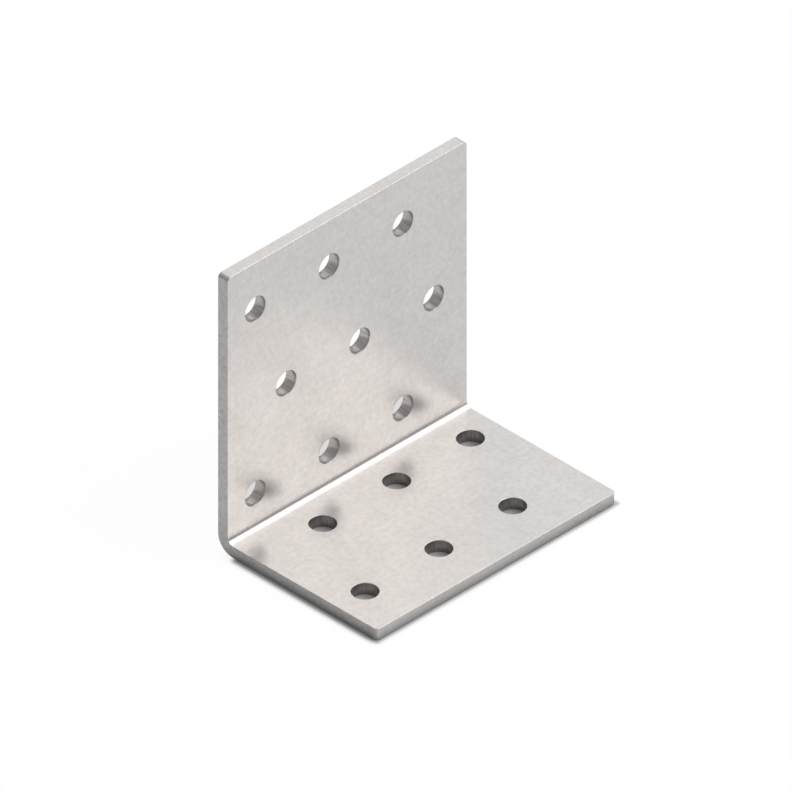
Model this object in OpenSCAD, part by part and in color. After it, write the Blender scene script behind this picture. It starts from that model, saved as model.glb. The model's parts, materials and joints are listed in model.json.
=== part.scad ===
// Perforated angle bracket: one piece of zinc-coated steel sheet, punched flat,
// cut to width and folded once into an upright leg and a base leg.
// The base leg lies on z = 0 and the bend runs along Y. The origin is under the
// middle of the footprint, and the upright leg's outer face looks towards -X.

/* [Sheet] */
// Thickness of the steel sheet
sheet_t = 2.5; // [1.5:0.1:4]
// Inside radius of the fold
bend_r = 1.25; // [0.8:0.05:3]
// Radius of the four outline corners, seen square on to the sheet
corner_r = 0.9; // [0.6:0.1:4]
// Radius of the edges that the shear rolls over, on the sheet's outer face
roll_r = 0.25; // [0.1:0.05:0.5]
// Width of the small 45 degree break along the edges of the sheet's inner face
edge_break = 0.1; // [0.05:0.05:0.4]

/* [Legs] */
// Width of the bracket, measured along the fold
width = 60; // [50:1:120]
// Height of the upright leg, from the underside of the base leg
upright_leg = 60; // [56:1:120]
// Length of the base leg, from the outer face of the upright leg
base_leg = 40; // [36:1:80]

/* [Holes] */
// Diameter of every punched hole
hole_d = 5; // [3:0.1:8]
// Width of the break that the punch leaves round the mouth of a hole
hole_break = 0.1; // [0.05:0.05:0.4]
// Distance from the outside of the fold to the first row, on either leg
first_row = 10; // [8:0.5:14]
// Distance from one row to the next
row_pitch = 20; // [14:0.5:24]
// Distance from one hole to the next in a row
hole_pitch = 18.5; // [12:0.5:26]
// Distance from the -Y side to the first hole of a row that isn't shifted
side_margin = 7; // [5:0.1:10]
// Shift of the upright leg's second row along Y, and of each second row after it
upright_shift = 7.7; // [0:0.1:10]
// Shift of the base leg's first row along Y, and of each second row after it
base_shift = 9.4; // [0:0.1:10]
// Least metal left between a hole and the edge beyond it
land = 2; // [1:0.1:4]

/* [Hidden] */
$fn = 96;
// How far a cutting tool reaches past the sheet's faces
past = 0.5;
hole_r = hole_d / 2;
// Distance from a leg's outer face to where the other leg runs flat
bend_run = sheet_t + bend_r;
// Flat length of each leg, from the fold's edge to the free end
upright_run = upright_leg - bend_run;
base_run = base_leg - bend_run;
// Outer face of the upright leg
heel_x = -base_leg / 2;
// Flats that stand for the quarter round of a rolled edge
roll_steps = 4;

// How many steps of a pitch fit between a first hole and the edge beyond it
function steps(first, edge, pitch) = floor((edge - land - hole_r - first) / pitch);

// A sheared edge's outline, as [distance in from the side, height above the outer face]:
// the rolled quarter round, the side, and the small break at the inner face
function sheared_edge() = concat(
    [
        for (step = [0 : roll_steps])
            let (turn = 90 * step / roll_steps)
                [roll_r * (1 - sin(turn)), roll_r * (1 - cos(turn))]
    ],
    [[0, sheet_t - edge_break], [edge_break, sheet_t]]
);

// The sheet's section across its width, with a sheared edge on either side:
// x is its thickness, from the outer face at 0 to sheet_t, and y is its width, centred
module sheet_section() {
    edge = sheared_edge();
    half = width / 2;
    polygon(concat(
        [for (point = edge) [point[1], half - point[0]]],
        [for (n = [len(edge) - 1 : -1 : 0]) [edge[n][1], edge[n][0] - half]]
    ));
}

// The rim section at a free end: x runs outwards for corner_r, y is the thickness
module rim_section() {
    polygon(concat(
        [[0, 0]],
        [for (point = sheared_edge()) [corner_r - point[0], point[1]]],
        [[0, sheet_t]]
    ));
}

// A flat leg from x = 0, where it leaves the fold, to its free end at x = run.
// It lies on z = 0, and its two outline corners are quarter turns of the rim
module flat_leg(run) {
    body_run = run - corner_r;
    side = width / 2 - corner_r;
    // Turning the section about Y stands its thickness up, and it is pushed back
    // along x from the rim to the fold
    translate([body_run, 0, 0])
        rotate([0, -90, 0])
            linear_extrude(height = body_run)
                sheet_section();
    translate([body_run, side, 0])
        rotate([90, 0, 0])
            linear_extrude(height = 2 * side)
                rim_section();
    translate([body_run, side, 0])
        rotate_extrude(angle = 90)
            rim_section();
    translate([body_run, -side, 0])
        rotate([0, 0, -90])
            rotate_extrude(angle = 90)
                rim_section();
}

// The quarter turn of sheet that joins the legs, about an axis along Y
module fold() {
    translate([bend_run, 0, bend_run])
        rotate([90, 0, 0])
            rotate([0, 0, 180])
                rotate_extrude(angle = 90)
                    translate([bend_run, 0])
                        mirror([1, 0])
                            sheet_section();
}

// One punched hole through a leg that lies on z = 0, with its two broken rims
module punch() {
    mouth_r = hole_r + hole_break + past;
    translate([0, 0, -past])
        cylinder(h = sheet_t + 2 * past, r = hole_r);
    translate([0, 0, -past])
        cylinder(h = hole_break + past, r1 = mouth_r, r2 = hole_r);
    translate([0, 0, sheet_t - hole_break])
        cylinder(h = hole_break + past, r1 = hole_r, r2 = mouth_r);
}

// The rows of punches for a leg. Rows 0, 2, 4 are shifted by even_shift and
// rows 1, 3, 5 by odd_shift
module punch_rows(leg, even_shift, odd_shift) {
    for (row = [0 : steps(first_row, leg, row_pitch)]) {
        first_hole = side_margin + (row % 2 == 0 ? even_shift : odd_shift);
        for (hole = [0 : steps(first_hole, width, hole_pitch)])
            translate([
                first_row + row * row_pitch - bend_run,
                first_hole + hole * hole_pitch - width / 2,
                0
            ])
                punch();
    }
}

module base_leg_flat() {
    translate([bend_run, 0, 0])
        difference() {
            flat_leg(base_run);
            punch_rows(base_leg, base_shift, 0);
        }
}

// The same kind of leg, stood up by a mirror in the plane that halves the fold, which
// keeps its outer face outside
module upright_leg_flat() {
    mirror([1, 0, -1])
        translate([bend_run, 0, 0])
            difference() {
                flat_leg(upright_run);
                punch_rows(upright_leg, 0, upright_shift);
            }
}

// The whole bracket: two punched legs and the fold between them, in one piece
module angle_bracket() {
    color([0.80, 0.80, 0.79])
        translate([heel_x, 0, 0])
            union() {
                fold();
                base_leg_flat();
                upright_leg_flat();
            }
}

angle_bracket();
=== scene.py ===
import json
import math

import bmesh
import bpy
from mathutils import Matrix, Vector


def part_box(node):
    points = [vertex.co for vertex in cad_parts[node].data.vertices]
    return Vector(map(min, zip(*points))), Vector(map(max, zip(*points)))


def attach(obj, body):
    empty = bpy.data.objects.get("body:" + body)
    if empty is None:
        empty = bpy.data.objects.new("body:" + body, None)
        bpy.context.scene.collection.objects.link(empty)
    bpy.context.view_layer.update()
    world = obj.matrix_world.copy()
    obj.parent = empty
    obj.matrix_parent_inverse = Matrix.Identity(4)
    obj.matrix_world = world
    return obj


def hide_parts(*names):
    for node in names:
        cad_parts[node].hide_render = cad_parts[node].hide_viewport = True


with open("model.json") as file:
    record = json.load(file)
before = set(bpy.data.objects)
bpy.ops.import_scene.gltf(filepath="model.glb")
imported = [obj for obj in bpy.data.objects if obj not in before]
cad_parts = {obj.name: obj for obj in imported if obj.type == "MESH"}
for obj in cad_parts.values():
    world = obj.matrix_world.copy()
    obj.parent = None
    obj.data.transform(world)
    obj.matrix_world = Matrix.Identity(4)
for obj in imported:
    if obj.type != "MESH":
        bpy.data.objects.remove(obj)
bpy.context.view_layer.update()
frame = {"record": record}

scene = bpy.context.scene
scene.view_settings.view_transform = "Standard"

# The camera
# The bracket is seen in a true isometric view: a parallel projection from the front right,
# which shows the width, the height and the base leg's length all at one scale.
MM = 0.001
view_azimuth = math.radians(45)
view_elevation = math.atan(1 / math.sqrt(2))
view_centre = Vector((-8.74, 3.50, 22.23)) * MM
view_width = 140.43 * MM
view_distance = 600 * MM
view_nearest = 10 * MM
view_farthest = 10

camera_data = bpy.data.cameras.new("camera")
camera_data.type = "ORTHO"
camera_data.ortho_scale = view_width
camera_data.clip_start = view_nearest
camera_data.clip_end = view_farthest
camera = bpy.data.objects.new("camera", camera_data)
scene.collection.objects.link(camera)
towards_camera = Vector((
    math.sin(view_azimuth) * math.cos(view_elevation),
    -math.cos(view_azimuth) * math.cos(view_elevation),
    math.sin(view_elevation),
))
camera.location = view_centre + towards_camera * view_distance
camera.rotation_euler = (-towards_camera).to_track_quat("-Z", "Y").to_euler()
scene.camera = camera


# The floor
# A pale matt floor that the bracket stands on. It shows whiter than it lights the bracket,
# to the eye and in the metal alike. It keeps the bracket's shadow, and round the footprint
# its colour is darkened into a painted contact shadow.
floor_half = 1.5
floor_colour = (0.75, 0.75, 0.75, 1)
floor_cloud = (0.7425, 0.7425, 0.7425, 1)
floor_cloud_scale = 30
floor_roughness = 0.9
floor_shown = (0.99, 0.99, 0.99, 1)
heel_lift = 5.0 * MM
# Painted contact shadow seen by the eye: how far round the footprint the floor's colour is
# darkened, and how dark
painted_contact_reach = 1.1 * MM
painted_contact_shade = 0.52
clear_start = 0.4 * MM
clear_end = 1.8 * MM
clear_share = 0.95
# Painted contact shadow as the metal sees it, then where the floor's white fades in for the
# metal
metal_painted_contact_reach = 3 * MM
metal_painted_contact_shade = 0.42
metal_clear_end = 18 * MM
metal_clear_share = 0.75


def blend_range(tree, value, low_in, high_in, low_out, high_out, blend="SMOOTHSTEP"):
    """A value carried from one range to another and held at its ends"""
    node = tree.nodes.new("ShaderNodeMapRange")
    node.interpolation_type = blend
    node.inputs["From Min"].default_value = low_in
    node.inputs["From Max"].default_value = high_in
    node.inputs["To Min"].default_value = low_out
    node.inputs["To Max"].default_value = high_out
    tree.links.new(value, node.inputs["Value"])
    return node.outputs["Result"]


def both(tree, operation, first, second):
    """One math node on two values"""
    node = tree.nodes.new("ShaderNodeMath")
    node.operation = operation
    tree.links.new(first, node.inputs[0])
    tree.links.new(second, node.inputs[1])
    return node.outputs["Value"]


def vector_math(tree, operation, vector, value=(0, 0, 0)):
    """One vector math node on a vector and a fixed one"""
    node = tree.nodes.new("ShaderNodeVectorMath")
    node.operation = operation
    node.inputs[1].default_value = value
    tree.links.new(vector, node.inputs[0])
    return node


def colour_mix(tree, share, first, second):
    """A colour between two others, each of them fixed or another node's"""
    node = tree.nodes.new("ShaderNodeMix")
    node.data_type = "RGBA"
    tree.links.new(share, node.inputs["Factor"])
    for colour, end in ((first, node.inputs["A"]), (second, node.inputs["B"])):
        if isinstance(colour, bpy.types.NodeSocket):
            tree.links.new(colour, end)
        else:
            end.default_value = colour
    return node.outputs["Result"]


# The bracket's own box, which the floor's painted shades and the legs are fitted to
low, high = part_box("angle_bracket")
width = high.y - low.y
base_leg = high.x - low.x
upright_leg = high.z - low.z

bm = bmesh.new()
bmesh.ops.create_grid(bm, x_segments=1, y_segments=1, size=floor_half)
floor_mesh = bpy.data.meshes.new("floor")
bm.to_mesh(floor_mesh)
bm.free()
floor = bpy.data.objects.new("floor", floor_mesh)
scene.collection.objects.link(floor)

pale_floor = bpy.data.materials.new("pale_floor")
pale_floor.use_nodes = True
floor_mesh.materials.append(pale_floor)
tree = pale_floor.node_tree
matt = tree.nodes["Principled BSDF"]
matt.inputs["Roughness"].default_value = floor_roughness
matt.inputs["Specular IOR Level"].default_value = 0
place = tree.nodes.new("ShaderNodeTexCoord").outputs["Object"]
cloud = tree.nodes.new("ShaderNodeTexNoise")
cloud.inputs["Scale"].default_value = floor_cloud_scale
tree.links.new(place, cloud.inputs["Vector"])
path = tree.nodes.new("ShaderNodeLightPath")
by_eye = path.outputs["Is Camera Ray"]
seen = both(tree, "MAXIMUM", by_eye, path.outputs["Is Glossy Ray"])
seen = both(tree, "MAXIMUM", seen, path.outputs["Is Transmission Ray"])
tinted = colour_mix(tree, cloud.outputs["Fac"], floor_colour, floor_cloud)
shown = colour_mix(tree, seen, tinted, floor_shown)

# The gap from each place on the floor to the bracket's footprint. The fold lifts the heel
# off the floor, so the footprint starts a little way in from there
half_footprint = ((base_leg - heel_lift) / 2, width / 2, 0)
centred = vector_math(tree, "SUBTRACT", place, (heel_lift / 2, 0, 0))
folded = vector_math(tree, "ABSOLUTE", centred.outputs["Vector"])
beyond = vector_math(tree, "SUBTRACT", folded.outputs["Vector"], half_footprint)
outside = vector_math(tree, "MAXIMUM", beyond.outputs["Vector"])
gap = vector_math(tree, "LENGTH", outside.outputs["Vector"]).outputs["Value"]

# The floor's colour is darkened where the bracket touches it, a painted contact shadow that
# reaches further in the metal than to the eye. Beyond that white is mixed in, so its shadow
# fades out, slower in the metal than to the eye
eye_painted_contact = blend_range(tree, gap, 0, painted_contact_reach, painted_contact_shade, 1)
painted_contact = both(
    tree, "MAXIMUM",
    both(tree, "MULTIPLY", by_eye, eye_painted_contact),
    blend_range(tree, gap, 0, metal_painted_contact_reach, metal_painted_contact_shade, 1),
)
# The floor's colour is scaled down by the painted contact shadow
shown_with_painted_shade = vector_math(tree, "SCALE", shown)
tree.links.new(painted_contact, shown_with_painted_shade.inputs["Scale"])
tree.links.new(shown_with_painted_shade.outputs["Vector"], matt.inputs["Base Color"])
eye_clear = blend_range(tree, gap, clear_start, clear_end, 0, clear_share)
clear = both(
    tree, "MAXIMUM",
    both(tree, "MULTIPLY", by_eye, eye_clear),
    blend_range(tree, gap, clear_end, metal_clear_end, 0, metal_clear_share),
)

# Through the upright leg's lowest holes the floor close behind that leg is seen in a painted
# shade: there the white shown to the eye is dimmed. The painted shade keeps to the floor that
# the leg hides from the camera. A line of sight moves as far in X as in Y, so X and Y of a
# place on the floor add up to where its line meets the leg
# Painted shade behind the heel: how far the white shown to the eye is dimmed, and where that
# starts, ends and fades
painted_heel_shade = 0.71
painted_heel_shade_full = 12 * MM
painted_heel_shade_end = 24 * MM
painted_heel_shade_inset = 1 * MM
painted_heel_shade_blend = 4.5 * MM
near_side = low.x + low.y
far_side = low.x + high.y

spot = tree.nodes.new("ShaderNodeSeparateXYZ")
tree.links.new(place, spot.inputs["Vector"])
met = both(tree, "ADD", spot.outputs["X"], spot.outputs["Y"])
hidden = both(
    tree, "MULTIPLY",
    blend_range(tree, met, near_side + painted_heel_shade_inset, near_side + painted_heel_shade_blend, 0, 1),
    blend_range(tree, met, far_side - painted_heel_shade_blend, far_side - painted_heel_shade_inset, 1, 0),
)
behind = both(
    tree, "MULTIPLY",
    blend_range(tree, spot.outputs["X"], low.x - painted_heel_shade_end, low.x - painted_heel_shade_full, 0, 1),
    blend_range(tree, spot.outputs["X"], low.x, low.x + heel_lift, 1, 0),
)
# The painted shade lowers the floor's white emission, to the eye only
in_painted_shade = both(tree, "MULTIPLY", by_eye, both(tree, "MULTIPLY", hidden, behind))
whiteness_with_painted_shade = blend_range(tree, in_painted_shade, 0, 1, 1, painted_heel_shade, "LINEAR")

white = tree.nodes.new("ShaderNodeEmission")
tree.links.new(whiteness_with_painted_shade, white.inputs["Strength"])
mixed = tree.nodes.new("ShaderNodeMixShader")
tree.links.new(both(tree, "MULTIPLY", clear, seen), mixed.inputs["Fac"])
tree.links.new(matt.outputs["BSDF"], mixed.inputs[1])
tree.links.new(white.outputs["Emission"], mixed.inputs[2])
tree.links.new(mixed.outputs["Shader"], tree.nodes["Material Output"].inputs["Surface"])


# The room
# The walls are dim and the ceiling is bright towards the back, so the fold shows a dark
# line beside a white one. Where a level changes is given as a part of a direction.
wall_behind = 0.50
wall_level = 0.27
wall_change = (-0.5, 0.3)
ceiling_front = 0.50
ceiling_level = 1.19
ceiling_change = (0, 0.5)
wall_top = 0.15
ceiling_start = 0.50

world = bpy.data.worlds.new("room")
scene.world = world
world.use_nodes = True
tree = world.node_tree
direction = tree.nodes.new("ShaderNodeTexCoord")
parts = tree.nodes.new("ShaderNodeSeparateXYZ")
tree.links.new(direction.outputs["Generated"], parts.inputs["Vector"])
walls = blend_range(tree, parts.outputs["X"], *wall_change, wall_behind, wall_level)
ceiling = blend_range(tree, parts.outputs["Y"], *ceiling_change, ceiling_front, ceiling_level)
height = blend_range(tree, parts.outputs["Z"], wall_top, ceiling_start, 0, 1)
level = tree.nodes.new("ShaderNodeMix")
tree.links.new(height, level.inputs["Factor"])
tree.links.new(walls, level.inputs["A"])
tree.links.new(ceiling, level.inputs["B"])
background = tree.nodes["Background"]
background.inputs["Color"].default_value = (1, 1, 1, 1)
tree.links.new(level.outputs["Result"], background.inputs["Strength"])


# The lamp
# One large soft lamp stands high behind the bracket, to the right, and lights the floor
# and the upper faces.
lamp_azimuth = math.radians(58)
lamp_elevation = math.radians(52)
lamp_distance = 1.0
lamp_width = 1.15
lamp_height = 0.85
lamp_radiance = 1.82

lamp_direction = Vector((
    math.cos(lamp_azimuth) * math.cos(lamp_elevation),
    math.sin(lamp_azimuth) * math.cos(lamp_elevation),
    math.sin(lamp_elevation),
))
lamp_data = bpy.data.lights.new("soft_lamp", "AREA")
lamp_data.shape = "RECTANGLE"
lamp_data.size = lamp_width
lamp_data.size_y = lamp_height
lamp_data.energy = lamp_radiance * math.pi * lamp_width * lamp_height
lamp = bpy.data.objects.new("soft_lamp", lamp_data)
scene.collection.objects.link(lamp)
lamp.location = lamp_direction * lamp_distance
lamp.rotation_euler = (-lamp_direction).to_track_quat("-Z", "Y").to_euler()
lamp.visible_camera = False


# The punched legs
# Each leg is flat steel sheet, blanked with two rounded corners and punched from the side
# that ends up inside the angle, so the holes' mouths are rolled over on that side.
sheet_t = 2.5 * MM
bend_r = 1.25 * MM
bend_run = sheet_t + bend_r
corner_r = 0.9 * MM
corner_steps = 6
roll_r = 0.25 * MM
roll_steps = 4
burr_break = 0.06 * MM
burr_steps = 2
tiny = 0.001 * MM
x_axis = 0
z_axis = 2

# What each face is finished with, in the order of the sheet's materials
zinc, slit_end, sheared_side, cut_end, punched_wall = range(5)


def on_plane(element, axis, value):
    """Whether all of an edge's or face's corners lie on a plane across an axis"""
    return all(abs(v.co[axis] - value) < tiny for v in element.verts)


# A punched hole's wall
# The punch rolls the mouth over, burnishes the wall for over half its depth and tears the
# rest, which flares a little towards the far face.
mouth_r = 0.14 * MM
mouth_steps = 4
burnished = 0.55
flare = 0.01 * MM
exit_break = 0.03 * MM
hole_steps = 72


def punch(bm, centre, hole_r):
    """Turns one hole's wall round its centre, as an open tube from face to face"""
    profile = []
    for step in range(mouth_steps + 1):
        turn = math.radians(90) * (1 - step / mouth_steps)
        out = mouth_r * (1 - math.cos(turn))
        down = mouth_r * (1 - math.sin(turn))
        profile.append((hole_r + out, sheet_t - down))
    profile.append((hole_r, sheet_t * (1 - burnished)))
    profile.append((hole_r + flare, exit_break))
    profile.append((hole_r + flare + exit_break, 0))
    points = [bm.verts.new((centre[0] + r, centre[1], z)) for r, z in profile]
    lines = [bm.edges.new(pair) for pair in zip(points, points[1:])]
    before = set(bm.faces)
    bmesh.ops.spin(
        bm, geom=points + lines, cent=(centre[0], centre[1], 0), axis=(0, 0, 1),
        angle=math.tau, steps=hole_steps, use_merge=True,
    )
    for face in set(bm.faces) - before:
        face.material_index = punched_wall


# A leg's outline
# The blank is bevelled at its two free corners, given its thickness, and its rims are
# rounded: the shear rolls the outer face's rim over and leaves a small break at the other.
end_depth = 0.3 * corner_r  # Faces this near to the free end are finished as that end


def flat_leg(run, holes, free_end):
    """A leg on z = 0, open at x = 0 where it leaves the fold, with holes as (x, y, radius)"""
    bm = bmesh.new()
    flat_place = bm.verts.layers.float_vector.new("flat_place")
    half = width / 2
    outline = ((0, -half, 0), (run, -half, 0), (run, half, 0), (0, half, 0))
    corners = [bm.verts.new(corner) for corner in outline]
    bm.faces.new(corners)
    bmesh.ops.bevel(
        bm, geom=corners[1:3], offset=corner_r, segments=corner_steps,
        profile=0.5, affect="VERTICES", material=-1,
    )
    risen = bmesh.ops.extrude_face_region(bm, geom=bm.faces[:])["geom"]
    upper = [v for v in risen if isinstance(v, bmesh.types.BMVert)]
    bmesh.ops.translate(bm, vec=(0, 0, sheet_t), verts=upper)
    for z, reach, steps in ((0, roll_r, roll_steps), (sheet_t, burr_break, burr_steps)):
        rim = [e for e in bm.edges if on_plane(e, z_axis, z) and not on_plane(e, x_axis, 0)]
        bmesh.ops.bevel(
            bm, geom=rim, offset=reach, segments=steps,
            profile=0.5, affect="EDGES", material=-1,
        )
    open_planes = ((z_axis, 0), (z_axis, sheet_t), (x_axis, 0))
    open_faces = [f for f in bm.faces if any(on_plane(f, *plane) for plane in open_planes)]
    bmesh.ops.delete(bm, geom=open_faces, context="FACES_ONLY")
    bm.normal_update()
    for face in bm.faces:
        if face.calc_center_median().x > run - end_depth:
            face.material_index = free_end
        else:
            face.material_index = sheared_side
    for x, y, hole_r in holes:
        punch(bm, (x, y), hole_r)
    for z in (0, sheet_t):
        bmesh.ops.triangle_fill(
            bm, use_beauty=True, normal=(0, 0, 1),
            edges=[e for e in bm.edges if on_plane(e, z_axis, z)],
        )
    for vert in bm.verts:
        vert[flat_place] = vert.co
    return bm


# The rows of holes
# They are where the part's record puts its patterns, whose corners are hole centres. A
# pattern's X runs along the base leg, or across the upright one.
pattern_across = {x_axis: "spacing_y_mm", z_axis: "spacing_x_mm"}
pattern_along = {x_axis: "spacing_x_mm", z_axis: "spacing_y_mm"}
base_holes = {}
upright_holes = {}


def add_pattern(holes, mount, leg_axis):
    """Adds one recorded pattern's holes as (distance from the fold, y, radius), each once"""
    centre = Vector(mount["pos_m"])
    dims = mount["dims"]
    across = dims.get(pattern_across[leg_axis], 0) * MM / 2
    along = dims.get(pattern_along[leg_axis], 0) * MM / 2
    for y in (centre.y - across, centre.y + across):
        for run in (centre[leg_axis] - along, centre[leg_axis] + along):
            place = (run - low[leg_axis] - bend_run, y)
            holes[tuple(round(v, 6) for v in place)] = (*place, dims["hole_r_mm"] * MM)


for mount in frame["record"]["mounts"]:
    if mount["kind"] != "bolt_pattern":
        continue
    if mount["axis"][z_axis]:
        add_pattern(base_holes, mount, x_axis)
    else:
        add_pattern(upright_holes, mount, z_axis)


# The fold
# The brake presses the sheet round a small nose, so the two legs meet in a quarter turn
# that is tight inside and three times as wide outside.
fold_steps = 16
side_facing = 0.05  # A face of the fold that turns this far towards Y is a cut side
shading_weight = 60

bracket = flat_leg(base_leg - bend_run, base_holes.values(), cut_end)
section = [e for e in bracket.edges if on_plane(e, x_axis, 0)]
corners = list(dict.fromkeys(v for e in section for v in e.verts))
bmesh.ops.spin(
    bracket, geom=corners + section, cent=(0, 0, bend_run), axis=(0, 1, 0),
    angle=math.radians(90), steps=fold_steps,
)
bmesh.ops.translate(bracket, vec=(bend_run, 0, 0), verts=bracket.verts)

# The upright leg is the same kind of leg, mirrored in the plane that halves the fold
upright = flat_leg(upright_leg - bend_run, upright_holes.values(), slit_end)
stood_up = Matrix(((0, 0, 1, 0), (0, 1, 0, 0), (1, 0, 0, bend_run), (0, 0, 0, 1)))
bmesh.ops.transform(upright, matrix=stood_up, verts=upright.verts)
joined = bpy.data.meshes.new("upright")
upright.to_mesh(joined)
upright.free()
bracket.from_mesh(joined)
bpy.data.meshes.remove(joined)
bmesh.ops.remove_doubles(bracket, verts=bracket.verts, dist=tiny)
bmesh.ops.translate(bracket, vec=(low.x, 0, low.z), verts=bracket.verts)
bmesh.ops.recalc_face_normals(bracket, faces=bracket.faces)

# The spin leaves the fold's own cut sides without their finish
for face in bracket.faces:
    face.smooth = True
    if face.material_index == zinc and abs(face.normal.y) > side_facing:
        face.material_index = sheared_side

# The coated faces keep a crisp rim, so that each stays flat up to its cut edges
for edge in bracket.edges:
    finishes = {face.material_index for face in edge.link_faces}
    edge.smooth = zinc not in finishes or len(finishes) == 1

mesh = bpy.data.meshes.new("angle_bracket_sheet")
bracket.to_mesh(mesh)
bracket.free()
piece = bpy.data.objects.new("folded_sheet", mesh)
scene.collection.objects.link(piece)
weighting = piece.modifiers.new("even_shading", "WEIGHTED_NORMAL")
weighting.mode = "FACE_AREA"
weighting.keep_sharp = True
weighting.weight = shading_weight


# The finish
# The sheet is zinc-coated before it is punched and cut, so its faces are dull silvery zinc
# with a fine mottled grain, and its cut sides and hole walls are bare, darker steel.
zinc_colour = (0.636, 0.614, 0.599, 1)
zinc_dark = (0.541, 0.522, 0.509, 1)
zinc_roughness = 0.31
zinc_relief = 0.1
slit_roughness = 0.3
slit_relief = 0.3
steel_colour = (0.475, 0.47, 0.465, 1)
steel_torn = (0.345, 0.34, 0.335, 1)
steel_roughness = 0.45
steel_relief = 0.4
end_colour = (0.60, 0.59, 0.58, 1)
end_torn = (0.50, 0.49, 0.48, 1)
end_roughness = 0.42
end_relief = 0.3

# Each layer of the grain has its share of the tone and its scale
cloud_share = 0.22
cloud_scale = 260
speckle_share = 0.63
speckle_scale = 1100
streak_share = 0.15
streak_scale = 1600
streak_stretch = (1, 0.04, 1)
grain_detail = 2
grain_contrast = (0.3, 0.7)
gloss_change = 0.03
relief_depth = 0.01 * MM


def new_group(name, inputs, outputs):
    """A shader node group with its own named sockets"""
    group = bpy.data.node_groups.new(name, "ShaderNodeTree")
    for label, kind, value in inputs:
        socket = group.interface.new_socket(name=label, in_out="INPUT", socket_type=kind)
        socket.default_value = value
    for label, kind in outputs:
        group.interface.new_socket(name=label, in_out="OUTPUT", socket_type=kind)
    return group, group.nodes.new("NodeGroupInput"), group.nodes.new("NodeGroupOutput")


def noise(tree, place, scale, detail):
    """A noise texture on a place vector"""
    node = tree.nodes.new("ShaderNodeTexNoise")
    node.inputs["Scale"].default_value = scale
    node.inputs["Detail"].default_value = detail
    tree.links.new(place, node.inputs["Vector"])
    return node.outputs["Fac"]


def stretched(tree, place, scale):
    """A place vector stretched along the axes"""
    node = tree.nodes.new("ShaderNodeMapping")
    node.inputs["Scale"].default_value = scale
    tree.links.new(place, node.inputs["Vector"])
    return node.outputs["Vector"]


# Grain of rolled zinc: soft clouds, a fine speckle and faint streaks along the strip
grain, grain_in, grain_out = new_group(
    "zinc_grain",
    [
        ("Pale", "NodeSocketColor", zinc_colour),
        ("Dark", "NodeSocketColor", zinc_dark),
        ("Roughness", "NodeSocketFloat", zinc_roughness),
        ("Relief", "NodeSocketFloat", zinc_relief),
    ],
    [
        ("Color", "NodeSocketColor"),
        ("Roughness", "NodeSocketFloat"),
        ("Normal", "NodeSocketVector"),
    ],
)
place = grain.nodes.new("ShaderNodeTexCoord").outputs["Object"]
along_strip = stretched(grain, place, streak_stretch)
clouds = noise(grain, place, cloud_scale, grain_detail)
speckle = noise(grain, place, speckle_scale, grain_detail)
streaks = noise(grain, along_strip, streak_scale, 0)
tone = both(
    grain, "ADD",
    blend_range(grain, clouds, *grain_contrast, 0, cloud_share, "LINEAR"),
    blend_range(grain, speckle, *grain_contrast, 0, speckle_share, "LINEAR"),
)
tone = both(
    grain, "ADD", tone,
    blend_range(grain, streaks, *grain_contrast, 0, streak_share, "LINEAR"),
)
mottled = colour_mix(grain, tone, grain_in.outputs["Pale"], grain_in.outputs["Dark"])
grain.links.new(mottled, grain_out.inputs["Color"])
gloss = both(
    grain, "ADD", grain_in.outputs["Roughness"],
    blend_range(grain, tone, 0, 1, -gloss_change, gloss_change, "LINEAR"),
)
grain.links.new(gloss, grain_out.inputs["Roughness"])
relief = grain.nodes.new("ShaderNodeBump")
relief.inputs["Distance"].default_value = relief_depth
grain.links.new(grain_in.outputs["Relief"], relief.inputs["Strength"])
grain.links.new(tone, relief.inputs["Height"])
grain.links.new(relief.outputs["Normal"], grain_out.inputs["Normal"])


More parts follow.
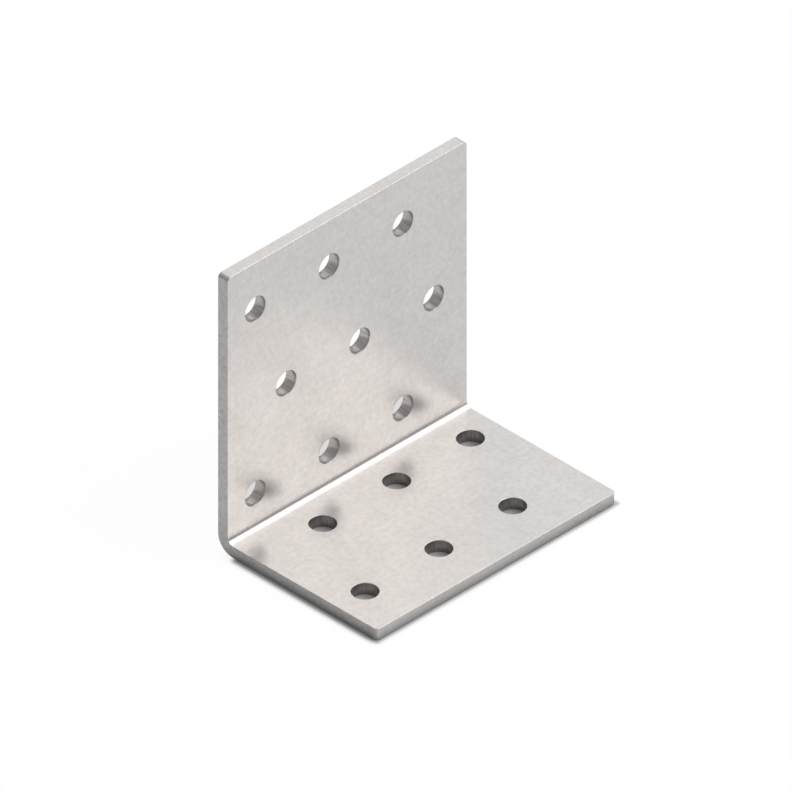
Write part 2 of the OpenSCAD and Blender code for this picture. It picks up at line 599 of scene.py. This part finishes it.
def finish(name, pale, dark, roughness, relief_strength):
    """A metal whose colour, gloss and relief come from the zinc grain group"""
    material = bpy.data.materials.new(name)
    material.use_nodes = True
    tree = material.node_tree
    shader = tree.nodes["Principled BSDF"]
    shader.inputs["Metallic"].default_value = 1.0
    surface = tree.nodes.new("ShaderNodeGroup")
    surface.node_tree = grain
    surface.inputs["Pale"].default_value = pale
    surface.inputs["Dark"].default_value = dark
    surface.inputs["Roughness"].default_value = roughness
    surface.inputs["Relief"].default_value = relief_strength
    tree.links.new(surface.outputs["Color"], shader.inputs["Base Color"])
    tree.links.new(surface.outputs["Roughness"], shader.inputs["Roughness"])
    tree.links.new(surface.outputs["Normal"], shader.inputs["Normal"])
    return material


# The upright leg's end is as pale as the faces. The sides of the legs and the fold are the
# darkest, and the base leg's end lies between
for metal in (
    finish("zinc_face", zinc_colour, zinc_dark, zinc_roughness, zinc_relief),
    finish("slit_end", zinc_colour, zinc_dark, slit_roughness, slit_relief),
    finish("sheared_side", steel_colour, steel_torn, steel_roughness, steel_relief),
    finish("cut_end", end_colour, end_torn, end_roughness, end_relief),
):
    mesh.materials.append(metal)

# The punch leaves fine lines down a hole's wall, and the bare steel there is a little dull.
# The lines set its colour and relief, and the grain only its gloss
wall_colour = (0.505, 0.482, 0.463, 1)
wall_torn = (0.39, 0.372, 0.358, 1)
wall_roughness = 0.30
wall_metallic = 0.85
line_scale = 2500
line_detail = 2
line_stretch = (1, 1, 0.12)
line_contrast = (0.38, 0.62)
line_strength = 0.5
line_depth = 0.03 * MM

wall = finish("punched_wall", wall_colour, wall_torn, wall_roughness, 0)
tree = wall.node_tree
shader = tree.nodes["Principled BSDF"]
shader.inputs["Metallic"].default_value = wall_metallic
place = tree.nodes.new("ShaderNodeAttribute")
place.attribute_name = "flat_place"
down_wall = stretched(tree, place.outputs["Vector"], line_stretch)
lines = noise(tree, down_wall, line_scale, line_detail)
worn = blend_range(tree, lines, *line_contrast, 0, 1)
tree.links.new(colour_mix(tree, worn, wall_torn, wall_colour), shader.inputs["Base Color"])
grooves = tree.nodes.new("ShaderNodeBump")
grooves.inputs["Strength"].default_value = line_strength
grooves.inputs["Distance"].default_value = line_depth
tree.links.new(lines, grooves.inputs["Height"])
tree.links.new(grooves.outputs["Normal"], shader.inputs["Normal"])
mesh.materials.append(wall)

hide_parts("angle_bracket")
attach(piece, "root")
